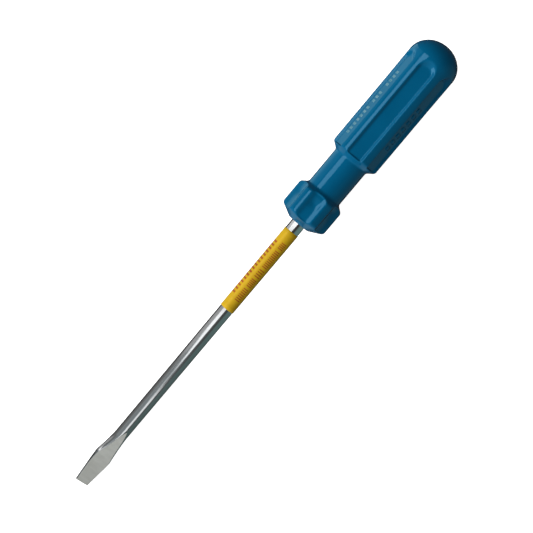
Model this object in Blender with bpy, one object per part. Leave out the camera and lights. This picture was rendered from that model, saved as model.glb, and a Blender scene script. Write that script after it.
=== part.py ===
"""Slotted screwdriver with a fluted plastic handle, a flared chrome blade and a thin plastic
sleeve on the shank.

The tool's axis is the X axis. The tip's end face is at X = 0 and the handle is towards +X.
One flute of the handle faces +Z. Blender 4.5, metres.
"""
import math

import bmesh
import bpy

MM = 0.001

# Gaps between pieces that touch on the real tool
GAP = 0.3 * MM
SLEEVE_GAP = 0.07 * MM

# Blade: tip
TIP_WIDTH = 6.5 * MM
TIP_THICKNESS = 1.2 * MM
TIP_PARALLEL_X = 6.0 * MM           # the faces are parallel up to here
TIP_ROLL = math.radians(30.0)       # turn of the tip's flats about the axis, from +Z towards -Y
FLARE_WIDTH = 9.7 * MM
FLARE_X = (16.8 * MM, 14.4 * MM)    # widest places of the flare, on its +Y and its -Y side
FORGED_THICKNESS = 4.2 * MM         # of the flattened bar before its faces are ground
FLARE_EASE = 1.35                   # how softly the flare runs into the shank; 1 is a straight line
GRIND_END_X = 31.2 * MM             # where the hollow-ground faces run out on the shank
GRIND_HOLLOW = 1.9                  # how hollow the ground faces begin
GRIND_RUNOUT = 1.5                  # how gently they run out on the shank; 1 would be abrupt

# Blade: shank and tang
SHANK_X = 28.0 * MM                 # the flare ends and the round shank begins
SHANK_RADIUS_TIP = 3.1 * MM
SHANK_RADIUS_HANDLE = 3.43 * MM
TANG_SHOULDER_X = 154.5 * MM
TANG_X = 155.0 * MM
TANG_RADIUS = 3.0 * MM
WING_START_X = 197.0 * MM
WING_END_X = 210.0 * MM
WING_RAMP = 4.0 * MM
WING_HALF_WIDTH = 4.9 * MM
WING_HALF_THICKNESS = 2.3 * MM
TANG_END_X = 219.0 * MM
TANG_CHAMFER = 1.2 * MM
FAR_CUT = 1.0                       # metres, farther than any ground face: the section stays whole

# Squareness of a superellipse section: 2 is round, more is squarer
ROUND = 2.0
TIP_SQUARENESS = 4.0
FLARE_SQUARENESS = 2.2
WING_SQUARENESS = 3.0

# Sleeve
SLEEVE_START_X = 102.9 * MM
SLEEVE_END_X = 147.9 * MM
SLEEVE_WALL = 0.13 * MM

# Colours of the materials
CHROME_COLOUR = (0.62, 0.63, 0.64)
BLUE_COLOUR = (0.004, 0.09, 0.19)
YELLOW_COLOUR = (0.62, 0.40, 0.01)
CHROME_ROUGHNESS = 0.12
HANDLE_ROUGHNESS = 0.22
FILM_ROUGHNESS = 0.45

# Handle: lengths
HANDLE_FRONT_X = 152.5 * MM
COLLAR_RISE_X = 155.8 * MM          # front cone meets the collar's ridges
COLLAR_FALL_X = 167.8 * MM          # rear edge of the collar's ridges
NECK_START_X = 170.15 * MM
NECK_END_X = 188.55 * MM
GRIP_START_X = 191.0 * MM
SWELL_START_X = 228.0 * MM
DOME_START_X = 243.2 * MM
HANDLE_END_X = 253.7 * MM

# Handle: radii over the ridges
MOUTH_RADIUS = 4.1 * MM             # around the socket, on the front face
FRONT_FLAT_RADIUS = 5.3 * MM
COLLAR_RADIUS = 11.7 * MM
NECK_RADIUS = 8.62 * MM
GRIP_RADIUS = 11.93 * MM
DOME_RADIUS = 12.04 * MM

# Handle: flutes, six flat-floored pockets on the collar and six on the grip
FLUTES = 6
COLLAR_FLOOR = 10.25 * MM           # distance of a pocket's floor from the axis
GRIP_FLOOR = 10.2 * MM
FLOOR_ANGLE = math.radians(14.0)    # half angle of a pocket's flat floor
EDGE_ANGLE = math.radians(22.2)     # half angle at the top of a pocket's side walls
GRIP_POCKET_FRONT_X = (190.05 * MM, 191.2 * MM)  # lip and start of the floor
GRIP_POCKET_ROUND_X = 238.4 * MM    # centre of the rounded rear end
GRIP_POCKET_FLOOR_LENGTH = 1.6 * MM
GRIP_POCKET_EDGE_LENGTH = 5.5 * MM
DOME_CAP_ANGLE = math.radians(88.0) # the pole is a small flat

# The outline over the ridges: x, radius and the fillet that rounds the corner
OUTLINE = (
    (HANDLE_FRONT_X, MOUTH_RADIUS, 0.0),
    (HANDLE_FRONT_X, FRONT_FLAT_RADIUS, 1.5 * MM),
    (COLLAR_RISE_X, COLLAR_RADIUS, 2.2 * MM),
    (COLLAR_FALL_X, COLLAR_RADIUS, 1.9 * MM),
    (NECK_START_X, NECK_RADIUS, 1.7 * MM),
    (NECK_END_X, NECK_RADIUS, 1.6 * MM),
    (GRIP_START_X, GRIP_RADIUS, 1.8 * MM),
    (SWELL_START_X, GRIP_RADIUS, 30.0 * MM),
    (DOME_START_X, DOME_RADIUS, 0.0),
)

# Facets
ARC_STEPS = 16                      # half a turn of the blade and the sleeve
FLAT_STEPS = 4                      # tip to flare
FALL_STEPS = 6                      # flare to shank
RUNOUT_STEPS = 4                    # end of the ground faces
RAMP_STEPS = 4                      # one ramp of the tang's wings
FILLET_STEPS = 3
DOME_STEPS = 10
WALL_STEPS = 3                      # side wall of a flute
MERGE_DISTANCE = 1e-6
SHARP_ANGLE = math.radians(25.0)


def clear_scene():
    for item in list(bpy.data.objects):
        bpy.data.objects.remove(item, do_unlink=True)


def make_material(name, colour, roughness, metallic):
    material = bpy.data.materials.new(name)
    material.use_nodes = True
    shader = material.node_tree.nodes["Principled BSDF"]
    shader.inputs["Base Color"].default_value = (*colour, 1.0)
    shader.inputs["Roughness"].default_value = roughness
    shader.inputs["Metallic"].default_value = metallic
    return material


def smoothstep(value):
    value = min(1.0, max(0.0, value))
    return value * value * (3.0 - 2.0 * value)


def mix(low, high, share):
    return low + (high - low) * share


def spaced(start, end, steps):
    """Evenly spaced values from start to end, both included."""
    return [mix(start, end, i / steps) for i in range(steps + 1)]


def add_band(shape, near, far):
    """Faces between two rings of equally many points."""
    count = len(near)
    for i in range(count):
        j = (i + 1) % count
        shape.faces.new((near[i], far[i], far[j], near[j]))


def add_part(name, shape, material):
    """Turns the finished shape into an object, smooth but for its sharp edges."""
    bmesh.ops.remove_doubles(shape, verts=shape.verts, dist=MERGE_DISTANCE)
    bmesh.ops.recalc_face_normals(shape, faces=shape.faces)
    mesh = bpy.data.meshes.new(name)
    shape.to_mesh(mesh)
    shape.free()
    mesh.materials.append(material)
    mesh.shade_smooth()
    mesh.set_sharp_from_angle(angle=SHARP_ANGLE)
    part = bpy.data.objects.new(name, mesh)
    bpy.context.scene.collection.objects.link(part)
    return part


def loft(name, rings, material):
    """A closed solid through rings of equally many points, capped at both ends."""
    shape = bmesh.new()
    loops = [[shape.verts.new(point) for point in ring] for ring in rings]
    for near, far in zip(loops, loops[1:]):
        add_band(shape, near, far)
    shape.faces.new(loops[0])
    shape.faces.new(list(reversed(loops[-1])))
    return add_part(name, shape, material)


# ---------------------------------------------------------------- blade

def shank_radius(x):
    """The shank tapers evenly from the handle to the flare."""
    share = (x - SHANK_X) / (HANDLE_FRONT_X - SHANK_X)
    return mix(SHANK_RADIUS_TIP, SHANK_RADIUS_HANDLE, min(1.0, max(0.0, share)))


def ground_height(x):
    """Half thickness between the hollow-ground faces, parallel at the tip."""
    if x >= GRIND_END_X:
        return FAR_CUT
    rise = SHANK_RADIUS_TIP - TIP_THICKNESS / 2
    share = max(0.0, x - TIP_PARALLEL_X) / (GRIND_END_X - TIP_PARALLEL_X)
    return TIP_THICKNESS / 2 + rise * (1.0 - (1.0 - share ** GRIND_HOLLOW) ** GRIND_RUNOUT)


def flare_section(x, side):
    """Half width, half thickness and squareness of one side, 0 or 1, of the forged flare."""
    widest = FLARE_X[side]
    if x < widest:
        share = x / widest
        half_width = mix(TIP_WIDTH, FLARE_WIDTH, share) / 2
        return half_width, FORGED_THICKNESS / 2, mix(TIP_SQUARENESS, FLARE_SQUARENESS, share)
    share = (x - widest) / (SHANK_X - widest)
    half_width = mix(FLARE_WIDTH / 2, SHANK_RADIUS_TIP, 1.0 - (1.0 - share) ** FLARE_EASE)
    half_thickness = mix(FORGED_THICKNESS / 2, SHANK_RADIUS_TIP, smoothstep(share))
    return half_width, half_thickness, mix(FLARE_SQUARENESS, ROUND, share)


def wing_share(x, grow=0.0):
    """How far the tang is pressed into its two wings; with grow they start earlier and end later."""
    ramp_in = smoothstep((x - WING_START_X + WING_RAMP + grow) / WING_RAMP)
    ramp_out = smoothstep((WING_END_X + WING_RAMP + grow - x) / WING_RAMP)
    return ramp_in * ramp_out


def wing_stations(grow=0.0):
    """Places along the two ramps of the wings."""
    ramp_in = spaced(WING_START_X - grow - WING_RAMP, WING_START_X - grow, RAMP_STEPS)
    ramp_out = spaced(WING_END_X + grow, WING_END_X + grow + WING_RAMP, RAMP_STEPS)
    return ramp_in + ramp_out


def tang_section(x, radius=TANG_RADIUS, grow=0.0):
    """Half width, half thickness and squareness of the tang, or of its socket with grow."""
    wing = wing_share(x, grow)
    half_width = mix(radius, WING_HALF_WIDTH, wing) + grow
    half_thickness = mix(radius, WING_HALF_THICKNESS, wing) + grow
    return half_width, half_thickness, mix(ROUND, WING_SQUARENESS, wing)


def roll(width_offset, height_offset):
    """Turns a point of the blade's own section about the axis by the tip's roll."""
    cos_roll = math.cos(TIP_ROLL)
    sin_roll = math.sin(TIP_ROLL)
    y = width_offset * cos_roll - height_offset * sin_roll
    z = width_offset * sin_roll + height_offset * cos_roll
    return y, z


def blade_ring(x, sections, cut):
    """A ring whose two sides are superellipses (half width, half thickness, squareness),
    cut flat at plus and minus cut; the cut's corners are points of the ring."""
    points = []
    for side, (half_width, half_thickness, squareness) in zip((1, -1), sections):
        corner = math.pi / 2
        if cut < half_thickness:
            corner = math.asin((cut / half_thickness) ** (squareness / 2))
        for i in range(ARC_STEPS + 1):
            angle = corner * (1.0 - 2.0 * i / ARC_STEPS)
            width_offset = half_width * math.cos(angle) ** (2 / squareness)
            height_offset = half_thickness * abs(math.sin(angle)) ** (2 / squareness)
            height_offset = math.copysign(height_offset, angle)
            points.append((x, *roll(side * width_offset, side * height_offset)))
    return points


def round_ring(x, radius, cut=FAR_CUT):
    return blade_ring(x, 2 * [(radius, radius, ROUND)], cut)


def build_blade(material):
    """From the tip's end face to the end of the tang."""
    rings = []
    flat = [0.0] + spaced(TIP_PARALLEL_X, FLARE_X[1], FLAT_STEPS)
    fall = spaced(FLARE_X[0], SHANK_X, FALL_STEPS)[:-1]
    for x in flat + fall:
        sections = [flare_section(x, side) for side in (0, 1)]
        rings.append(blade_ring(x, sections, ground_height(x)))
    for x in spaced(SHANK_X, GRIND_END_X, RUNOUT_STEPS):
        rings.append(round_ring(x, shank_radius(x), ground_height(x)))
    for x in (HANDLE_FRONT_X, TANG_SHOULDER_X):
        rings.append(round_ring(x, shank_radius(x)))
    for x in [TANG_X] + wing_stations() + [TANG_END_X - TANG_CHAMFER]:
        rings.append(blade_ring(x, 2 * [tang_section(x)], FAR_CUT))
    rings.append(round_ring(TANG_END_X, TANG_RADIUS - TANG_CHAMFER))
    return loft("blade", rings, material)


# ---------------------------------------------------------------- sleeve

def build_sleeve(material):
    """A thin tube that follows the shank's taper."""
    shape = bmesh.new()
    loops = []
    for x in (SLEEVE_START_X, SLEEVE_END_X):
        inner = shank_radius(x) + SLEEVE_GAP
        for radius in (inner, inner + SLEEVE_WALL):
            loops.append([shape.verts.new(point) for point in round_ring(x, radius)])
    start_inner, start_outer, end_inner, end_outer = loops
    tube = [start_inner, start_outer, end_outer, end_inner, start_inner]
    for near, far in zip(tube, tube[1:]):
        add_band(shape, near, far)
    return add_part("sleeve", shape, material)


# ---------------------------------------------------------------- handle

def rounded_outline(corners, steps):
    """Points along straight lines between corners (x, radius, fillet), each corner rounded."""
    points = [corners[0][:2]]
    for before, corner, after in zip(corners, corners[1:], corners[2:]):
        fillet = corner[2]
        back = (before[0] - corner[0], before[1] - corner[1])
        ahead = (after[0] - corner[0], after[1] - corner[1])
        back_length = math.hypot(*back)
        ahead_length = math.hypot(*ahead)
        cos_turn = (back[0] * ahead[0] + back[1] * ahead[1]) / (back_length * ahead_length)
        half_turn = math.acos(cos_turn) / 2
        reach = fillet / math.tan(half_turn)
        start = [corner[k] + back[k] * reach / back_length for k in range(2)]
        end = [corner[k] + ahead[k] * reach / ahead_length for k in range(2)]
        for i in range(steps + 1):
            share = i / steps
            bend = [
                mix(mix(start[k], corner[k], share), mix(corner[k], end[k], share), share)
                for k in range(2)
            ]
            points.append(tuple(bend))
    points.append(corners[-1][:2])
    return points


def handle_outline():
    """The handle's outline over its ridges, from the front face to the pole of the dome."""
    points = rounded_outline(OUTLINE, FILLET_STEPS)
    pocket_end = GRIP_POCKET_ROUND_X + GRIP_POCKET_EDGE_LENGTH - DOME_START_X
    first = math.asin(pocket_end / (HANDLE_END_X - DOME_START_X))
    for angle in [first] + spaced(0.0, DOME_CAP_ANGLE, DOME_STEPS)[1:]:
        x = DOME_START_X + (HANDLE_END_X - DOME_START_X) * math.sin(angle)
        points.append((x, DOME_RADIUS * math.cos(angle)))
    return points


def pocket_share(x, angle):
    """How far a place lies inside a pocket: 1 on its floor, 0 outside its walls."""
    across = (abs(angle) - FLOOR_ANGLE) / (EDGE_ANGLE - FLOOR_ANGLE)
    if x < NECK_START_X:
        return 1.0 - smoothstep(across)
    if x <= GRIP_POCKET_ROUND_X:
        lip, floor = GRIP_POCKET_FRONT_X
        along = (floor - x) / (floor - lip)
        return 1.0 - smoothstep(math.hypot(max(0.0, across), max(0.0, along)))
    side = abs(angle) * GRIP_RADIUS
    along = x - GRIP_POCKET_ROUND_X
    direction = math.atan2(side, along)
    distance = math.hypot(side, along)
    floor = ellipse_reach(GRIP_POCKET_FLOOR_LENGTH, FLOOR_ANGLE * GRIP_RADIUS, direction)
    edge = ellipse_reach(GRIP_POCKET_EDGE_LENGTH, EDGE_ANGLE * GRIP_RADIUS, direction)
    return 1.0 - smoothstep((distance - floor) / (edge - floor))


def ellipse_reach(length, width, direction):
    """Distance from an ellipse's centre to its edge in a direction from its length axis."""
    return 1.0 / math.hypot(math.cos(direction) / length, math.sin(direction) / width)


def handle_point(x, radius, sector, angle):
    """A point of the handle's skin, angle away from the middle of a flute."""
    floor = COLLAR_FLOOR if x < NECK_START_X else GRIP_FLOOR
    height = radius * math.cos(angle)
    height -= pocket_share(x, angle) * max(0.0, height - floor)
    side = radius * math.sin(angle)
    turn = sector * 2 * math.pi / FLUTES
    y = height * math.sin(turn) + side * math.cos(turn)
    z = height * math.cos(turn) - side * math.sin(turn)
    return x, y, z


def flute_angles():
    """Angles across one flute: the floor, its walls, and the ridge to one side."""
    walls = spaced(FLOOR_ANGLE, EDGE_ANGLE, WALL_STEPS)
    ridge = math.pi / FLUTES
    return [-angle for angle in reversed(walls)] + [0.0] + walls + [ridge]


def build_handle(material):
    """The skin from the dome to the mouth of the socket, then the socket's wall."""
    angles = [(sector, angle) for sector in range(FLUTES) for angle in flute_angles()]
    rings = []
    for x, radius in reversed(handle_outline()):
        rings.append([handle_point(x, radius, sector, angle) for sector, angle in angles])
    stations = [HANDLE_FRONT_X, TANG_X + GAP] + wing_stations(GAP) + [TANG_END_X + GAP]
    for x in stations:
        radius = SHANK_RADIUS_HANDLE if x <= TANG_X + GAP else TANG_RADIUS
        section = tang_section(x, radius, GAP)
        ring = []
        for sector, angle in angles:
            direction = math.pi / 2 - angle - sector * 2 * math.pi / FLUTES
            ring.append(socket_point(x, direction, *section))
        rings.append(ring)
    return loft("handle", rings, material)


def socket_point(x, direction, half_width, half_thickness, squareness):
    """A point of the socket's wall in a direction about the axis."""
    local = direction - TIP_ROLL
    reach = abs(math.cos(local) / half_width) ** squareness
    reach += abs(math.sin(local) / half_thickness) ** squareness
    radius = reach ** (-1.0 / squareness)
    return x, radius * math.cos(direction), radius * math.sin(direction)


def main():
    clear_scene()
    chrome = make_material("chrome", CHROME_COLOUR, CHROME_ROUGHNESS, metallic=1.0)
    blue = make_material("blue_plastic", BLUE_COLOUR, HANDLE_ROUGHNESS, metallic=0.0)
    yellow = make_material("yellow_plastic", YELLOW_COLOUR, FILM_ROUGHNESS, metallic=0.0)
    build_blade(chrome)
    build_sleeve(yellow)
    build_handle(blue)


main()
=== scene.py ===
"""Slotted screwdriver: glossy blue handle, tapered chrome shank with a ground tip, printed
yellow film sleeve. It lies on a pale floor in soft studio light.

The tool's axis is the X axis, the tip's end face is at X = 0, one flute faces +Z. Metres.
"""

import math

import bmesh
import bpy
from mathutils import Matrix, Vector


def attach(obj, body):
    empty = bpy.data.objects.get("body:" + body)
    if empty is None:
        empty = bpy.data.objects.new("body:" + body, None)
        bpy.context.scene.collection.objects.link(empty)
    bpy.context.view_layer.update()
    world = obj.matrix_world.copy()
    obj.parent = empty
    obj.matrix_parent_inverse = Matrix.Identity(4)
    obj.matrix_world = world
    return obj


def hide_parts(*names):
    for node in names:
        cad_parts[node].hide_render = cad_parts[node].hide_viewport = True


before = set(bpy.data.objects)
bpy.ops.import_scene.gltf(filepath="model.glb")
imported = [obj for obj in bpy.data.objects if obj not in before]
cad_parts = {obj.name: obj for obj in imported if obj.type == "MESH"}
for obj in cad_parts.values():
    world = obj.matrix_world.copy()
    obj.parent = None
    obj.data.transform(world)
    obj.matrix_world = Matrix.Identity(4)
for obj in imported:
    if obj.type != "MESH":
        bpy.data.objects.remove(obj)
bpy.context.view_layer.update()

MM = 0.001

# ------------------------------------------------------------------ dimensions of the tool

TIP_WIDTH = 6.5 * MM
TIP_THICKNESS = 1.2 * MM
TIP_PARALLEL_X = 6.0 * MM           # the ground faces are parallel up to here
TIP_ROLL = math.radians(30.0)       # turn of the tip's flats about the axis, from +Z towards -Y
FLARE_WIDTH = 9.7 * MM
FLARE_X = (16.8 * MM, 14.4 * MM)    # widest places of the flare, on its +Y and its -Y side
FORGED_THICKNESS = 4.2 * MM         # of the flattened bar before its faces are ground
FLARE_EASE = 1.35                   # how softly the flare runs into the shank; 1 is a straight line
GRIND_END_X = 31.2 * MM             # where the hollow-ground faces run out on the shank
GRIND_HOLLOW = 1.9                  # how hollow the ground faces begin
GRIND_RUNOUT = 1.5                  # how gently they run out on the shank; 1 would be abrupt
EDGE_BREAK = 0.1 * MM               # worn edges of the ground faces
EDGE_LAND = 0.12 * MM               # strip of a ground face next to its worn edge
EDGE_LAND_SHARE = 0.9               # on a narrow face the strip starts at this share of its width
EDGE_BREAK_SHARE = 0.4              # most of a face's half width that its worn edge may take
SHANK_X = 28.0 * MM                 # the flare ends and the round shank begins
SHANK_RADIUS_TIP = 3.1 * MM
SHANK_RADIUS_HANDLE = 3.43 * MM
TANG_SHOULDER_X = 154.5 * MM
TANG_X = 155.0 * MM
TANG_RADIUS = 3.0 * MM
WING_START_X = 197.0 * MM
WING_END_X = 210.0 * MM
WING_RAMP = 4.0 * MM
WING_HALF_WIDTH = 4.9 * MM
WING_HALF_THICKNESS = 2.3 * MM
TANG_END_X = 219.0 * MM
TANG_CHAMFER = 1.2 * MM
FAR_CUT = 1.0                       # metres, farther than any ground face
ROUND = 2.0                         # squareness of a circle; larger is squarer
TIP_SQUARENESS = 4.0
FLARE_SQUARENESS = 2.2
WING_SQUARENESS = 3.0

GAP = 0.3 * MM                      # between the handle's socket and the blade
SLEEVE_START_X = 102.9 * MM
SLEEVE_END_X = 147.9 * MM
SLEEVE_GAP = 0.07 * MM
SLEEVE_WALL = 0.13 * MM
SLEEVE_LIP = 0.04 * MM              # rounding of the film's cut edges

HANDLE_FRONT_X = 152.5 * MM
HANDLE_END_X = 253.7 * MM
DOME_START_X = 243.2 * MM
DOME_RADIUS = 12.04 * MM
NECK_START_X = 170.15 * MM
GRIP_RADIUS = 11.93 * MM
OUTLINE = (                         # x, radius over the ridges, fillet
    (HANDLE_FRONT_X, 4.1 * MM, 0.0),
    (HANDLE_FRONT_X, 5.3 * MM, 1.5 * MM),
    (155.8 * MM, 11.7 * MM, 2.2 * MM),
    (167.8 * MM, 11.7 * MM, 1.9 * MM),
    (NECK_START_X, 8.62 * MM, 1.7 * MM),
    (188.55 * MM, 8.62 * MM, 1.6 * MM),
    (191.0 * MM, GRIP_RADIUS, 1.8 * MM),
    (228.0 * MM, GRIP_RADIUS, 30.0 * MM),
    (DOME_START_X, DOME_RADIUS, 0.0),
)
FLUTES = 6
FLUTE_TURN = 2 * math.pi / FLUTES
COLLAR_FLOOR = 10.25 * MM           # distance of a flute's floor from the axis
GRIP_FLOOR = 10.2 * MM
FLOOR_ANGLE = math.radians(14.0)    # half angle of a flute's flat floor
EDGE_ANGLE = math.radians(22.2)     # half angle at the top of a flute's side walls
GRIP_POCKET_FRONT_X = (190.05 * MM, 191.2 * MM)  # lip and start of the floor
GRIP_POCKET_ROUND_X = 238.4 * MM    # centre of the rounded rear end
FLOOR_LENGTH = 1.6 * MM             # of the rounded end's floor, and of its top edge
EDGE_LENGTH = 5.5 * MM
DOME_CAP_ANGLE = math.radians(88.0) # the pole is a small flat
FLOOR_BLEND = 0.22 * MM             # softness where a flute's floor runs out
COLLAR_WALL_ANGLE = math.radians(10.0)
COLLAR_WALL_EASE = 0.1              # 0 is a flat wall, 1 a softly rounded one
COLLAR_DISH = 0.38 * MM             # hollow of the collar's flutes across their width
SINK_X = 163.8 * MM                 # shrink mark in the middle of each of the collar's floors
SINK_DEPTH = 0.5 * MM
SINK_RADIUS = 1.9 * MM
DISH_FADE = 0.9 * MM                # the dish and the shrink mark fade out over this depth

# ------------------------------------------------------------------ mesh fineness

FINE = 0.35 * MM                    # longest step along the handle
FLOOR_STEPS = 8
WALL_STEPS = 10
RIDGE_STEPS = 4
ARC_STEPS = 40                      # half a turn of the blade
SLEEVE_STEPS = 96                   # a whole turn of the sleeve
SLEEVE_LENGTH_STEPS = 24
FILLET_STEPS = 10
DOME_STEPS = 40
WING_RAMP_STEPS = 6                 # one ramp of the tang's wings
BLADE_SPANS = (                     # start, end, steps along the blade in front of the tang
    (TIP_PARALLEL_X, FLARE_X[1], 24),
    (FLARE_X[1], FLARE_X[0], 8),
    (FLARE_X[0], SHANK_X, 30),
    (SHANK_X, GRIND_END_X, 24),
    (GRIND_END_X, TANG_SHOULDER_X, 60),
)


def smoothstep(value):
    value = min(1.0, max(0.0, value))
    return value * value * (3.0 - 2.0 * value)


def mix(low, high, share):
    return low + (high - low) * share


def spaced(start, end, steps):
    return [mix(start, end, i / steps) for i in range(steps + 1)]


# ------------------------------------------------------------------ mesh helpers

def add_mesh(name, shape, materials, sharp_angle=None):
    """An object on the tool's body from a finished bmesh."""
    bmesh.ops.remove_doubles(shape, verts=shape.verts, dist=1e-6)
    bmesh.ops.recalc_face_normals(shape, faces=shape.faces)
    mesh = bpy.data.meshes.new(name)
    shape.to_mesh(mesh)
    shape.free()
    for material in materials:
        mesh.materials.append(material)
    mesh.shade_smooth()
    if sharp_angle is not None:
        mesh.set_sharp_from_angle(angle=sharp_angle)
    piece = bpy.data.objects.new(name, mesh)
    bpy.context.scene.collection.objects.link(piece)
    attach(piece, "root")
    return piece


def add_band(shape, near, far, ground=()):
    """Faces between two rings; those that start at a point in ground get the second material."""
    count = len(near)
    for i in range(count):
        j = (i + 1) % count
        face = shape.faces.new((near[i], far[i], far[j], near[j]))
        face.material_index = 1 if i in ground else 0


# ------------------------------------------------------------------ blade

def shank_radius(x):
    share = (x - SHANK_X) / (HANDLE_FRONT_X - SHANK_X)
    return mix(SHANK_RADIUS_TIP, SHANK_RADIUS_HANDLE, min(1.0, max(0.0, share)))


def ground_height(x):
    """Half thickness between the hollow-ground faces."""
    if x >= GRIND_END_X:
        return FAR_CUT
    rise = SHANK_RADIUS_TIP - TIP_THICKNESS / 2
    share = max(0.0, x - TIP_PARALLEL_X) / (GRIND_END_X - TIP_PARALLEL_X)
    return TIP_THICKNESS / 2 + rise * (1.0 - (1.0 - share ** GRIND_HOLLOW) ** GRIND_RUNOUT)


def flare_section(x, side):
    """Half width, half thickness and squareness of one side of the flare and the shank."""
    widest = FLARE_X[side]
    if x < widest:
        share = x / widest
        half_width = mix(TIP_WIDTH, FLARE_WIDTH, share) / 2
        return half_width, FORGED_THICKNESS / 2, mix(TIP_SQUARENESS, FLARE_SQUARENESS, share)
    if x < SHANK_X:
        share = (x - widest) / (SHANK_X - widest)
        half_width = mix(FLARE_WIDTH / 2, SHANK_RADIUS_TIP, 1.0 - (1.0 - share) ** FLARE_EASE)
        half_thickness = mix(FORGED_THICKNESS / 2, SHANK_RADIUS_TIP, smoothstep(share))
        return half_width, half_thickness, mix(FLARE_SQUARENESS, ROUND, share)
    if x < TANG_X:
        return shank_radius(x), shank_radius(x), ROUND
    return tang_section(x, TANG_RADIUS, 0.0)


def tang_section(x, radius, grow):
    """The tang with its two pressed wings, or its socket when grown."""
    ramp_in = smoothstep((x - WING_START_X + WING_RAMP + grow) / WING_RAMP)
    ramp_out = smoothstep((WING_END_X + WING_RAMP + grow - x) / WING_RAMP)
    wing = ramp_in * ramp_out
    half_width = mix(radius, WING_HALF_WIDTH, wing) + grow
    half_thickness = mix(radius, WING_HALF_THICKNESS, wing) + grow
    return half_width, half_thickness, mix(ROUND, WING_SQUARENESS, wing)


def wing_stations(grow):
    """Places along the two ramps of the wings, or of their socket when grown."""
    ramp_in = spaced(WING_START_X - grow - WING_RAMP, WING_START_X - grow, WING_RAMP_STEPS)
    ramp_out = spaced(WING_END_X + grow, WING_END_X + grow + WING_RAMP, WING_RAMP_STEPS)
    return ramp_in + ramp_out


def roll(width_offset, height_offset):
    """From the blade's own section to the tool's y and z."""
    cos_roll = math.cos(TIP_ROLL)
    sin_roll = math.sin(TIP_ROLL)
    y = width_offset * cos_roll - height_offset * sin_roll
    z = width_offset * sin_roll + height_offset * cos_roll
    return y, z


def flat_offsets(half_flat):
    """Places on half of a ground face, from its worn edge to its middle."""
    inner = max(half_flat - EDGE_LAND, half_flat * EDGE_LAND_SHARE)
    return [half_flat, inner] + [inner * share for share in (0.75, 0.5, 0.25, 0.0)]


def blade_ring(x, sections, cut):
    """Two superellipse sides, ground flat at top and bottom, with the flats' edges broken."""
    points = []
    for side, (half_width, half_thickness, squareness) in zip((1, -1), sections):
        level = min(cut, half_thickness)
        full = half_width * (1.0 - (level / half_thickness) ** squareness) ** (1 / squareness)
        worn = min(EDGE_BREAK, full * EDGE_BREAK_SHARE)
        corner = math.asin(min(1.0, (level - worn) / half_thickness) ** (squareness / 2))
        for width_offset in reversed(flat_offsets(full - worn)):
            points.append((x, *roll(side * width_offset, side * level)))
        for i in range(ARC_STEPS + 1):
            angle = corner * (1.0 - 2.0 * i / ARC_STEPS)
            width_offset = half_width * math.cos(angle) ** (2 / squareness)
            height_offset = half_thickness * abs(math.sin(angle)) ** (2 / squareness)
            height_offset = math.copysign(height_offset, angle)
            points.append((x, *roll(side * width_offset, side * height_offset)))
        for width_offset in flat_offsets(full - worn)[:-1]:
            points.append((x, *roll(side * width_offset, -side * level)))
    return points


def build_blade(chrome, ground):
    stations = [0.0, TIP_PARALLEL_X]
    for start, end, steps in BLADE_SPANS:
        stations += spaced(start, end, steps)[1:]
    stations += [TANG_X] + wing_stations(0.0) + [TANG_END_X - TANG_CHAMFER]
    shape = bmesh.new()
    loops = []
    for x in stations:
        ring = blade_ring(x, [flare_section(x, side) for side in (0, 1)], ground_height(x))
        loops.append([shape.verts.new(point) for point in ring])
    radius = TANG_RADIUS - TANG_CHAMFER
    ring = blade_ring(TANG_END_X, 2 * [(radius, radius, ROUND)], FAR_CUT)
    loops.append([shape.verts.new(point) for point in ring])
    flat_count = len(flat_offsets(1.0)) - 1
    count = len(loops[0])
    ground_points = set(range(flat_count)) | set(range(count - flat_count, count))
    half = count // 2
    ground_points |= set(range(half - flat_count, half + flat_count))
    for x, near, far in zip(stations, loops, loops[1:]):
        add_band(shape, near, far, ground_points if x < GRIND_END_X else ())
    shape.faces.new(loops[0]).material_index = 1
    shape.faces.new(list(reversed(loops[-1])))
    return add_mesh("chrome_blade", shape, [chrome, ground], math.radians(50.0))


# ------------------------------------------------------------------ sleeve

# Each row: middle and height round the sleeve, width of a bar, start x, lengths of its groups
# in millimetres.
PRINT_ROWS = (
    (-3.75 * MM, 3.4 * MM, 0.95 * MM, 110.9 * MM, (29.8,)),
    (1.24 * MM, 2.66 * MM, 0.5 * MM, 108.8 * MM, (6.7, 4.1, 4.0, 9.3, 3.2)),
)
PRINT_SPACE = 1.4 * MM              # between two groups of bars
LENGTH_MERGE = 0.05 * MM            # edges of the film's faces closer than this become one
ANGLE_MERGE = 0.004                 # the same round the sleeve, in radians
OUTER_SHARE = 0.985                 # faces beyond this share of the outer radius can be printed


def print_bars():
    """Upright printed bars as (start x, end x, start angle, end angle), angle from +Z to -Y."""
    radius = shank_radius(SLEEVE_START_X) + SLEEVE_GAP + SLEEVE_WALL
    bars = []
    for middle, height, stroke, start, groups in PRINT_ROWS:
        low = (middle - height / 2) / radius
        high = (middle + height / 2) / radius
        for length in groups:
            count = round((length * MM / stroke + 1) / 2)
            pitch = (length * MM - stroke) / max(1, count - 1)
            for k in range(count):
                x = start + k * pitch
                bars.append((x, x + stroke, low, high))
            start += length * MM + PRINT_SPACE
    return bars


def merged(values, tolerance):
    """Sorted values without near repeats."""
    kept = []
    for value in sorted(values):
        if not kept or value - kept[-1] > tolerance:
            kept.append(value)
    return kept


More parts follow.
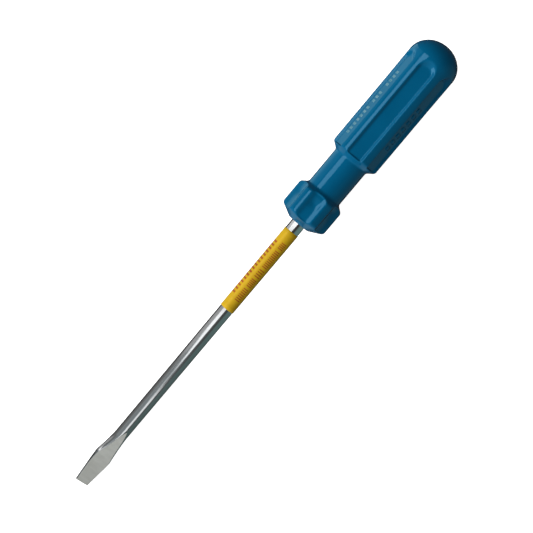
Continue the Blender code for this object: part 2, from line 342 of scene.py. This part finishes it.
def build_sleeve(film, ink):
    """A thin tube on the shank; faces inside a printed bar take the ink."""
    bars = print_bars()
    lips = (SLEEVE_START_X, SLEEVE_END_X)
    inside = [value for bar in bars for value in bar[:2]]
    inside += spaced(SLEEVE_START_X + SLEEVE_LIP, SLEEVE_END_X - SLEEVE_LIP,
                     SLEEVE_LENGTH_STEPS)
    xs = merged(inside, LENGTH_MERGE)
    angles = [value for bar in bars for value in bar[2:]]
    angles += spaced(-math.pi, math.pi, SLEEVE_STEPS)[:-1]
    angles = merged(angles, ANGLE_MERGE)

    def ring(x, radius):
        return [
            shape.verts.new((x, -radius * math.sin(angle), radius * math.cos(angle)))
            for angle in angles
        ]

    shape = bmesh.new()
    outer = shank_radius(SLEEVE_START_X) + SLEEVE_GAP + SLEEVE_WALL
    loops = [ring(lips[0], shank_radius(lips[0]) + SLEEVE_GAP)]
    loops.append(ring(lips[0], shank_radius(lips[0]) + SLEEVE_GAP + SLEEVE_WALL - SLEEVE_LIP))
    for x in xs:
        loops.append(ring(x, shank_radius(x) + SLEEVE_GAP + SLEEVE_WALL))
    loops.append(ring(lips[1], shank_radius(lips[1]) + SLEEVE_GAP + SLEEVE_WALL - SLEEVE_LIP))
    loops.append(ring(lips[1], shank_radius(lips[1]) + SLEEVE_GAP))
    for near, far in zip(loops, loops[1:] + loops[:1]):
        add_band(shape, near, far)
    for face in shape.faces:
        middle = face.calc_center_median()
        if math.hypot(middle.y, middle.z) < outer * OUTER_SHARE:
            continue
        angle = math.atan2(-middle.y, middle.z)
        for x_start, x_end, start, end in bars:
            if x_start < middle.x < x_end and start < angle < end:
                face.material_index = 1
    return add_mesh("film_sleeve", shape, [film, ink], math.radians(60.0))


# ------------------------------------------------------------------ handle

def rounded_outline(corners, steps):
    """Points along straight lines between corners (x, radius, fillet), each corner rounded."""
    points = [corners[0][:2]]
    for before, corner, after in zip(corners, corners[1:], corners[2:]):
        fillet = corner[2]
        back = (before[0] - corner[0], before[1] - corner[1])
        ahead = (after[0] - corner[0], after[1] - corner[1])
        back_length = math.hypot(*back)
        ahead_length = math.hypot(*ahead)
        cos_turn = (back[0] * ahead[0] + back[1] * ahead[1]) / (back_length * ahead_length)
        reach = fillet / math.tan(math.acos(cos_turn) / 2)
        start = [corner[k] + back[k] * reach / back_length for k in range(2)]
        end = [corner[k] + ahead[k] * reach / ahead_length for k in range(2)]
        for share in spaced(0.0, 1.0, steps):
            points.append(tuple(
                mix(mix(start[k], corner[k], share), mix(corner[k], end[k], share), share)
                for k in range(2)
            ))
    points.append(corners[-1][:2])
    return points


def handle_outline():
    """The outline over the ridges from the front face to the dome, in fine steps."""
    points = rounded_outline(OUTLINE, FILLET_STEPS)
    for angle in spaced(0.0, DOME_CAP_ANGLE, DOME_STEPS)[1:]:
        x = DOME_START_X + (HANDLE_END_X - DOME_START_X) * math.sin(angle)
        points.append((x, DOME_RADIUS * math.cos(angle)))
    fine = [points[0]]
    for near, far in zip(points, points[1:]):
        length = math.hypot(far[0] - near[0], far[1] - near[1])
        steps = max(1, math.ceil(length / FINE))
        for share in spaced(0.0, 1.0, steps)[1:]:
            fine.append((mix(near[0], far[0], share), mix(near[1], far[1], share)))
    return fine


def ellipse_reach(length, width, direction):
    return 1.0 / math.hypot(math.cos(direction) / length, math.sin(direction) / width)


def pocket_share(x, angle):
    """How far a place lies inside a flute: 1 on its floor, 0 outside its walls."""
    across = (abs(angle) - FLOOR_ANGLE) / (EDGE_ANGLE - FLOOR_ANGLE)
    if x < NECK_START_X:
        across = (abs(angle) - COLLAR_WALL_ANGLE) / (EDGE_ANGLE - COLLAR_WALL_ANGLE)
        return 1.0 - mix(min(1.0, max(0.0, across)), smoothstep(across), COLLAR_WALL_EASE)
    if x <= GRIP_POCKET_ROUND_X:
        lip, floor = GRIP_POCKET_FRONT_X
        along = (floor - x) / (floor - lip)
        return 1.0 - smoothstep(math.hypot(max(0.0, across), max(0.0, along)))
    side = abs(angle) * GRIP_RADIUS
    along = x - GRIP_POCKET_ROUND_X
    direction = math.atan2(side, along)
    distance = math.hypot(side, along)
    floor = ellipse_reach(FLOOR_LENGTH, FLOOR_ANGLE * GRIP_RADIUS, direction)
    edge = ellipse_reach(EDGE_LENGTH, EDGE_ANGLE * GRIP_RADIUS, direction)
    return 1.0 - smoothstep((distance - floor) / (edge - floor))


def handle_point(x, radius, sector, angle):
    """A point of the handle's skin, angle away from the middle of a flute."""
    floor = COLLAR_FLOOR if x < NECK_START_X else GRIP_FLOOR
    height = radius * math.cos(angle)
    above = height - floor
    above = (above + math.hypot(above, FLOOR_BLEND)) / 2
    if height < floor - 4 * FLOOR_BLEND:
        above = 0.0
    share = pocket_share(x, angle)
    height -= share * above
    side = radius * math.sin(angle)
    if x < NECK_START_X:
        hollow = max(0.0, 1.0 - (angle / EDGE_ANGLE) ** 2)
        distance = math.hypot(x - SINK_X, side) / SINK_RADIUS
        depth = COLLAR_DISH * hollow + SINK_DEPTH * hollow * math.exp(-distance ** 2)
        height -= depth * smoothstep(above / DISH_FADE)
    turn = sector * FLUTE_TURN
    y = height * math.sin(turn) + side * math.cos(turn)
    z = height * math.cos(turn) - side * math.sin(turn)
    return x, y, z


def flute_angles():
    walls = spaced(FLOOR_ANGLE, EDGE_ANGLE, WALL_STEPS)
    floor = spaced(-FLOOR_ANGLE, FLOOR_ANGLE, FLOOR_STEPS)[1:-1]
    ridge = spaced(EDGE_ANGLE, FLUTE_TURN - EDGE_ANGLE, RIDGE_STEPS * 2)[1:-1]
    return [-angle for angle in reversed(walls)] + floor + walls + ridge


def build_handle(plastic):
    """The skin from the dome to the mouth of the socket, then the socket's wall."""
    angles = [(sector, angle) for sector in range(FLUTES) for angle in flute_angles()]
    shape = bmesh.new()
    loops = []
    for x, radius in reversed(handle_outline()):
        ring = [handle_point(x, radius, sector, angle) for sector, angle in angles]
        loops.append([shape.verts.new(point) for point in ring])
    stations = [HANDLE_FRONT_X, TANG_X + GAP] + wing_stations(GAP) + [TANG_END_X + GAP]
    for x in stations:
        radius = SHANK_RADIUS_HANDLE if x <= TANG_X + GAP else TANG_RADIUS
        half_width, half_thickness, squareness = tang_section(x, radius, GAP)
        ring = []
        for sector, angle in angles:
            direction = math.pi / 2 - angle - sector * FLUTE_TURN
            local = direction - TIP_ROLL
            reach = abs(math.cos(local) / half_width) ** squareness
            reach += abs(math.sin(local) / half_thickness) ** squareness
            distance = reach ** (-1.0 / squareness)
            ring.append((x, distance * math.cos(direction), distance * math.sin(direction)))
        loops.append([shape.verts.new(point) for point in ring])
    for near, far in zip(loops, loops[1:]):
        add_band(shape, near, far)
    shape.faces.new(loops[0])
    shape.faces.new(list(reversed(loops[-1])))
    return add_mesh("fluted_handle", shape, [plastic], math.radians(70.0))


# ------------------------------------------------------------------ marks on the flutes

STAMP_SECTOR = 1                    # flute towards +Y
STAMP_SIDE = 0.85 * MM              # off the floor's middle
STAMP_HEIGHT = 2.3 * MM
STAMP_LENGTH = 1.25 * MM
STAMP_PITCH = 2.27 * MM
STAMP_GROUPS = ((197.0 * MM, 7), (214.4 * MM, 3), (223.6 * MM, 4))   # start x, count
STAMP_RISE = 0.02 * MM
EMBOSS_SECTOR = 5                   # flute towards -Y
EMBOSS_START_X = 202.0 * MM
EMBOSS_COUNT = 7
EMBOSS_PITCH = 3.5 * MM
EMBOSS_LENGTH = 2.1 * MM
EMBOSS_HEIGHT = 2.6 * MM
EMBOSS_RISE = 0.3 * MM
SUNK = 0.1 * MM                     # marks start this far under the floor


def add_mark(shape, sector, x_start, x_end, side_low, side_high, rise, bevel):
    """A plain raised bar with softened top edges on a flute's floor."""
    turn = sector * FLUTE_TURN
    levels = ((0.0, -SUNK), (0.0, rise - bevel), (bevel, rise))
    loops = []
    for inset, level in levels:
        height = GRIP_FLOOR + level
        corners = (
            (x_start + inset, side_low + inset),
            (x_end - inset, side_low + inset),
            (x_end - inset, side_high - inset),
            (x_start + inset, side_high - inset),
        )
        loop = []
        for x, side in corners:
            y = height * math.sin(turn) + side * math.cos(turn)
            z = height * math.cos(turn) - side * math.sin(turn)
            loop.append(shape.verts.new((x, y, z)))
        loops.append(loop)
    for near, far in zip(loops, loops[1:]):
        add_band(shape, near, far)
    shape.faces.new(loops[0])
    shape.faces.new(loops[-1])


def build_marks(foil, plastic):
    shape = bmesh.new()
    low = STAMP_SIDE - STAMP_HEIGHT / 2
    for start, count in STAMP_GROUPS:
        for k in range(count):
            x = start + k * STAMP_PITCH
            add_mark(shape, STAMP_SECTOR, x, x + STAMP_LENGTH, low, low + STAMP_HEIGHT,
                     STAMP_RISE, STAMP_RISE / 2)
    stamp = add_mesh("foil_stripe", shape, [foil], math.radians(30.0))
    shape = bmesh.new()
    for i in range(EMBOSS_COUNT):
        x = EMBOSS_START_X + i * EMBOSS_PITCH
        add_mark(shape, EMBOSS_SECTOR, x, x + EMBOSS_LENGTH, -EMBOSS_HEIGHT / 2,
                 EMBOSS_HEIGHT / 2, EMBOSS_RISE, EMBOSS_RISE * 0.6)
    return stamp, add_mesh("raised_bars", shape, [plastic])


# ------------------------------------------------------------------ materials

class Nodes:
    """A small builder for node trees."""

    def __init__(self, tree):
        self.tree = tree

    def add(self, kind, **settings):
        node = self.tree.nodes.new(kind)
        for key, value in settings.items():
            setattr(node, key, value)
        return node

    def link(self, source, target):
        self.tree.links.new(source, target)

    def noise(self, scale, detail=2.0, stretch=(1.0, 1.0, 1.0)):
        """Noise in the object's own coordinates, with scale as features per metre."""
        coordinates = self.add("ShaderNodeTexCoord")
        mapping = self.add("ShaderNodeMapping")
        mapping.inputs["Scale"].default_value = stretch
        self.link(coordinates.outputs["Object"], mapping.inputs["Vector"])
        noise = self.add("ShaderNodeTexNoise")
        noise.inputs["Scale"].default_value = scale
        noise.inputs["Detail"].default_value = detail
        self.link(mapping.outputs["Vector"], noise.inputs["Vector"])
        return noise.outputs["Fac"]

    def spread(self, value, low, high):
        """Maps a 0.3 to 0.7 noise value to the range low to high."""
        node = self.add("ShaderNodeMapRange")
        node.inputs["From Min"].default_value = 0.3
        node.inputs["From Max"].default_value = 0.7
        node.inputs["To Min"].default_value = low
        node.inputs["To Max"].default_value = high
        self.link(value, node.inputs["Value"])
        return node.outputs["Result"]

    def blend(self, value, first, second):
        node = self.add("ShaderNodeMix", data_type="RGBA")
        node.inputs["A"].default_value = (*first, 1.0)
        node.inputs["B"].default_value = (*second, 1.0)
        self.link(value, node.inputs["Factor"])
        return node.outputs["Result"]

    def bump(self, value, depth, normal=None):
        """A relief of that real depth in metres."""
        node = self.add("ShaderNodeBump")
        node.inputs["Strength"].default_value = 1.0
        node.inputs["Distance"].default_value = depth
        self.link(value, node.inputs["Height"])
        if normal is not None:
            self.link(normal, node.inputs["Normal"])
        return node.outputs["Normal"]


def new_material(name, **values):
    material = bpy.data.materials.new(name)
    material.use_nodes = True
    shader = material.node_tree.nodes["Principled BSDF"]
    for key, value in values.items():
        shader.inputs[key.replace("_", " ")].default_value = value
    return material, Nodes(material.node_tree), shader


def plastic_material():
    """Glossy moulded plastic with a slightly wavy skin and faint handling marks."""
    material, nodes, shader = new_material(
        "moulded_blue", IOR=1.5, Specular_Tint=(0.27, 0.64, 0.88, 1.0))
    tone = nodes.spread(nodes.noise(90.0, 3.0), 0.0, 1.0)
    nodes.link(nodes.blend(tone, (0.0002, 0.064, 0.140), (0.0004, 0.070, 0.151)),
               shader.inputs["Base Color"])
    wear = nodes.spread(nodes.noise(350.0, 5.0, (0.25, 1.0, 1.0)), 0.05, 0.10)
    nodes.link(wear, shader.inputs["Roughness"])
    waves = nodes.bump(nodes.noise(110.0, 1.0, (0.6, 1.0, 1.0)), 0.09 * MM)
    peel = nodes.bump(nodes.noise(1500.0, 2.0), 0.0015 * MM, waves)
    nodes.link(peel, shader.inputs["Normal"])
    return material


def chrome_material():
    """Bright plating with faint lengthwise polishing."""
    material, nodes, shader = new_material("chrome_plate", Metallic=1.0)
    tone = nodes.spread(nodes.noise(60.0, 2.0), 0.0, 1.0)
    nodes.link(nodes.blend(tone, (0.60, 0.61, 0.62), (0.66, 0.67, 0.68)),
               shader.inputs["Base Color"])
    polish = nodes.spread(nodes.noise(2500.0, 3.0, (0.03, 1.0, 1.0)), 0.07, 0.13)
    nodes.link(polish, shader.inputs["Roughness"])
    waves = nodes.bump(nodes.noise(70.0, 1.0, (0.5, 1.0, 1.0)), 0.02 * MM)
    nodes.link(waves, shader.inputs["Normal"])
    return material


def ground_material():
    """Satin steel with grinding lines across the blade."""
    material, nodes, shader = new_material("ground_steel", Metallic=0.4)
    stretch = (1.0, 0.25, 0.25)
    tone = nodes.spread(nodes.noise(700.0, 5.0, stretch), 0.0, 1.0)
    nodes.link(nodes.blend(tone, (0.60, 0.59, 0.55), (0.68, 0.67, 0.63)),
               shader.inputs["Base Color"])
    satin = nodes.spread(nodes.noise(500.0, 3.0), 0.42, 0.55)
    nodes.link(satin, shader.inputs["Roughness"])
    lines = nodes.bump(nodes.noise(4500.0, 2.0, stretch), 0.004 * MM)
    nodes.link(lines, shader.inputs["Normal"])
    return material


def film_material(name, dark, light):
    """Semi-gloss plastic film, lightly scuffed."""
    material, nodes, shader = new_material(
        name, IOR=1.4, Specular_Tint=(1.0, 0.8, 0.4, 1.0))
    tone = nodes.spread(nodes.noise(160.0, 4.0), 0.0, 1.0)
    nodes.link(nodes.blend(tone, dark, light), shader.inputs["Base Color"])
    scuffs = nodes.spread(nodes.noise(700.0, 5.0), 0.32, 0.5)
    nodes.link(scuffs, shader.inputs["Roughness"])
    wrinkles = nodes.bump(nodes.noise(260.0, 2.0), 0.02 * MM)
    nodes.link(wrinkles, shader.inputs["Normal"])
    return material


def foil_material():
    """Worn grey foil from hot stamping."""
    material, nodes, shader = new_material("grey_foil")
    tone = nodes.spread(nodes.noise(900.0, 4.0), 0.0, 1.0)
    nodes.link(nodes.blend(tone, (0.02, 0.12, 0.175), (0.11, 0.20, 0.25)),
               shader.inputs["Base Color"])
    nodes.link(nodes.spread(nodes.noise(1200.0), 0.3, 0.5), shader.inputs["Roughness"])
    return material


def floor_material():
    """Pale paper, bright enough to stay nearly white."""
    material, nodes, shader = new_material("pale_floor", Roughness=0.9)
    tone = nodes.spread(nodes.noise(6.0), 0.0, 1.0)
    nodes.link(nodes.blend(tone, (0.86, 0.86, 0.86), (0.88, 0.88, 0.88)),
               shader.inputs["Base Color"])
    shader.inputs["Emission Color"].default_value = (1.0, 1.0, 1.0, 1.0)
    shader.inputs["Emission Strength"].default_value = FLOOR_GLOW
    return material


# ------------------------------------------------------------------ studio

FLOOR_GLOW = 0.8
FLOOR_SIZE = 6.0
FLOOR_CELLS = 8
KEY_STRENGTH = 3.62
KEY_SIDE = math.radians(50.0)       # towards +Y from overhead
KEY_END = math.radians(35.0)        # towards the tip
KEY_SOFTNESS = math.radians(35.0)   # how wide the key looks from the tool
AMBIENT = 0.47                      # strength of the soft room
CARD_DISTANCE = 0.6                 # from the tool's axis

# Cards that only show as reflections. Each row: the card's two edges as angles from overhead
# towards +Y in degrees, its two ends in x, its radiance and, if it isn't white, its tint.
PLASTIC_CARDS = (
    (31.0, 57.0, -0.55, 0.45, 3.4),
    (66.0, 100.0, -0.05, 0.45, 0.55, (0.5, 0.95, 1.0)),
    (100.0, 140.0, -0.05, 0.45, 0.95, (0.5, 0.95, 1.0)),
)
METAL_CARDS = (                     # they give the shank and the flare their bright bands
    (-28.0, 0.0, -0.20, -0.065, 0.95),
    (-1.0, 14.0, -0.08, -0.045, 0.28),
    (-2.0, 12.0, -0.035, 0.035, 1.35),
    (12.0, 22.0, -0.03, 0.035, 1.35),
    (22.0, 34.0, -0.018, 0.035, 1.35),
    (34.0, 46.0, -0.005, 0.035, 1.35),
    (46.0, 110.0, -0.15, -0.03, 0.1),
    (46.0, 110.0, -0.03, 0.04, 0.4),
    (-3.0, 64.0, 0.11, 0.17, 1.9),
    (64.0, 110.0, 0.11, 0.17, 0.85),
)


def build_floor(blade, handle):
    """A tilted plane from the shank end of the flare, its lowest point, to the handle's ridges.

    The flare and the tip are nearer to the plane than that and dip into it a little.
    """
    low = min((vertex.co for vertex in blade.data.vertices if vertex.co.x < SHANK_X),
              key=lambda co: co.z)
    slope = min((vertex.co.z - low.z) / (vertex.co.x - low.x)
                for vertex in handle.data.vertices)
    mesh = bpy.data.meshes.new("floor")
    half = FLOOR_SIZE / 2
    steps = spaced(-half, half, FLOOR_CELLS)
    points = [(x, y, low.z + slope * (x - low.x)) for x in steps for y in steps]
    count = len(steps)
    faces = [
        (i * count + j, (i + 1) * count + j, (i + 1) * count + j + 1, i * count + j + 1)
        for i in range(count - 1) for j in range(count - 1)
    ]
    mesh.from_pydata(points, [], faces)
    mesh.materials.append(floor_material())
    floor = bpy.data.objects.new("floor", mesh)
    bpy.context.scene.collection.objects.link(floor)
    floor.visible_glossy = False
    floor.visible_diffuse = False


def add_softbox(name, side_low, side_high, x_low, x_high, radiance, tint=(1.0, 1.0, 1.0)):
    """A reflection card that spans these angles towards +Y from overhead, in degrees."""
    middle = math.radians((side_low + side_high) / 2)
    half = math.radians((side_high - side_low) / 2)
    light = bpy.data.lights.new(name, "AREA")
    light.shape = "RECTANGLE"
    light.size = x_high - x_low
    light.size_y = 2 * CARD_DISTANCE * math.tan(half)
    light.energy = radiance * math.pi * light.size * light.size_y
    light.color = tint
    box = bpy.data.objects.new(name, light)
    outward = Vector((0.0, math.sin(middle), math.cos(middle)))
    across = Vector((0.0, math.cos(middle), -math.sin(middle)))
    along = Vector((1.0, 0.0, 0.0))
    rotation = Matrix((along, -across, outward)).transposed().to_4x4()
    place = outward * CARD_DISTANCE + Vector(((x_low + x_high) / 2, 0.0, 0.0))
    box.matrix_world = Matrix.Translation(place) @ rotation
    bpy.context.scene.collection.objects.link(box)
    box.visible_camera = False
    box.visible_diffuse = False
    return box


def build_lights(blade, pieces):
    """A soft key from +Y and the tip's side, and the cards, each seen by one kind of piece."""
    light = bpy.data.lights.new("key", "SUN")
    light.energy = KEY_STRENGTH
    light.angle = KEY_SOFTNESS
    key = bpy.data.objects.new("key", light)
    direction = Vector((
        -math.sin(KEY_END),
        math.cos(KEY_END) * math.sin(KEY_SIDE),
        math.cos(KEY_END) * math.cos(KEY_SIDE),
    ))
    key.rotation_euler = direction.to_track_quat("Z", "Y").to_euler()
    bpy.context.scene.collection.objects.link(key)
    key.visible_glossy = False
    metal = bpy.data.collections.new("metal_pieces")
    metal.objects.link(blade)
    plastics = bpy.data.collections.new("plastic_pieces")
    for piece in pieces:
        plastics.objects.link(piece)
    for name, cards, receivers in (
        ("plastic_card", PLASTIC_CARDS, plastics),
        ("metal_card", METAL_CARDS, metal),
    ):
        for k, card in enumerate(cards):
            box = add_softbox(f"{name}_{k}", *card)
            box.light_linking.receiver_collection = receivers


def build_world():
    """White to the camera. Diffuse light comes from a soft room, brighter above, towards +Y and
    towards the tip. Reflections see three weak glows (front, overhead, far side) and a dim rest.
    """
    world = bpy.data.worlds.new("studio")
    bpy.context.scene.world = world
    world.use_nodes = True
    nodes = Nodes(world.node_tree)
    world.node_tree.nodes.clear()
    coordinates = nodes.add("ShaderNodeTexCoord")
    parts = nodes.add("ShaderNodeSeparateXYZ")
    nodes.link(coordinates.outputs["Generated"], parts.inputs["Vector"])

    def ramp(source, low, high, start, end):
        node = nodes.add("ShaderNodeMapRange", interpolation_type="SMOOTHSTEP")
        node.inputs["From Min"].default_value = low
        node.inputs["From Max"].default_value = high
        node.inputs["To Min"].default_value = start
        node.inputs["To Max"].default_value = end
        nodes.link(source, node.inputs["Value"])
        return node.outputs["Result"]

    def maths(operation, first, second):
        node = nodes.add("ShaderNodeMath", operation=operation)
        for k, value in enumerate((first, second)):
            if isinstance(value, float):
                node.inputs[k].default_value = value
            else:
                nodes.link(value, node.inputs[k])
        return node.outputs["Value"]

    paths = nodes.add("ShaderNodeLightPath")
    glossy = paths.outputs["Is Glossy Ray"]
    front = ramp(parts.outputs["X"], -0.5, -0.7, 0.0, 0.5)
    overhead = maths("MULTIPLY", ramp(parts.outputs["X"], -0.1, -0.18, 0.0, 0.26),
                     ramp(parts.outputs["Z"], 0.1, 0.9, 0.1, 1.0))
    overhead = maths("MULTIPLY", overhead, ramp(parts.outputs["Y"], -0.5, 0.1, 0.2, 1.0))
    far_side = maths("MULTIPLY", ramp(parts.outputs["Y"], -0.5, -0.9, 0.0, 0.22),
                     ramp(parts.outputs["X"], -0.2, -0.05, 0.4, 1.0))
    toward = maths("MULTIPLY", parts.outputs["X"], -0.5)
    toward = maths("ADD", toward, maths("MULTIPLY", parts.outputs["Y"], 0.45))
    toward = maths("ADD", toward, maths("MULTIPLY", parts.outputs["Z"], 0.7))
    room = ramp(toward, -0.6, 0.9, 0.0, 2.1 * AMBIENT)
    parts_of_light = (
        ((0.58, 0.9, 1.0), maths("MULTIPLY", front, glossy)),
        ((0.85, 0.96, 1.0), maths("MULTIPLY", overhead, glossy)),
        ((0.5, 1.0, 0.95), maths("MULTIPLY", far_side, glossy)),
        ((1.0, 1.0, 0.95), maths("MULTIPLY", glossy, 0.05)),
        ((1.0, 1.0, 1.0), maths("MULTIPLY", room, paths.outputs["Is Diffuse Ray"])),
        ((1.0, 1.0, 1.0), maths("MULTIPLY", paths.outputs["Is Camera Ray"], 1.0)),
    )
    total = None
    for colour, strength in parts_of_light:
        background = nodes.add("ShaderNodeBackground")
        background.inputs["Color"].default_value = (*colour, 1.0)
        nodes.link(strength, background.inputs["Strength"])
        shader = background.outputs["Background"]
        if total is not None:
            both = nodes.add("ShaderNodeAddShader")
            nodes.link(total, both.inputs[0])
            nodes.link(shader, both.inputs[1])
            shader = both.outputs["Shader"]
        total = shader
    output = nodes.add("ShaderNodeOutputWorld")
    nodes.link(total, output.inputs["Surface"])


# ------------------------------------------------------------------ camera

CAMERA_DISTANCE = 0.6437
CAMERA_LENS = 97.73
CAMERA_TARGET = Vector((0.12877, -0.00144, 0.0))
CAMERA_LEAN_END = math.radians(4.7)     # towards the handle
CAMERA_LEAN_SIDE = math.radians(-1.0)   # towards +Y
CAMERA_ROLL = math.radians(49.884)      # the tool rises to the right by this much


def build_camera():
    towards = Vector((
        math.sin(CAMERA_LEAN_END),
        math.sin(CAMERA_LEAN_SIDE) * math.cos(CAMERA_LEAN_END),
        math.cos(CAMERA_LEAN_END) * math.cos(CAMERA_LEAN_SIDE),
    )).normalized()
    right = (-towards).cross(Vector((0.0, 1.0, 0.0))).normalized()
    up = right.cross(-towards)
    rolled_right = right * math.cos(CAMERA_ROLL) - up * math.sin(CAMERA_ROLL)
    rolled_up = right * math.sin(CAMERA_ROLL) + up * math.cos(CAMERA_ROLL)
    data = bpy.data.cameras.new("camera")
    data.sensor_width = 36.0
    data.lens = CAMERA_LENS
    data.clip_start = 0.01
    data.clip_end = 50.0
    camera = bpy.data.objects.new("camera", data)
    rotation = Matrix((rolled_right, rolled_up, towards)).transposed().to_4x4()
    camera.matrix_world = Matrix.Translation(CAMERA_TARGET + towards * CAMERA_DISTANCE) @ rotation
    bpy.context.scene.collection.objects.link(camera)
    bpy.context.scene.camera = camera


def main():
    build_camera()
    plastic = plastic_material()
    blade = build_blade(chrome_material(), ground_material())
    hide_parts("blade")
    sleeve = build_sleeve(
        film_material("yellow_film", (0.39, 0.238, 0.0035), (0.44, 0.27, 0.005)),
        film_material("brown_ink", (0.23, 0.05, 0.006), (0.30, 0.075, 0.008)))
    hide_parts("sleeve")
    handle = build_handle(plastic)
    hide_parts("handle")
    marks = build_marks(foil_material(), plastic)
    build_floor(blade, handle)
    build_lights(blade, [sleeve, handle, *marks])
    build_world()
    bpy.context.scene.view_settings.view_transform = "Standard"


main()
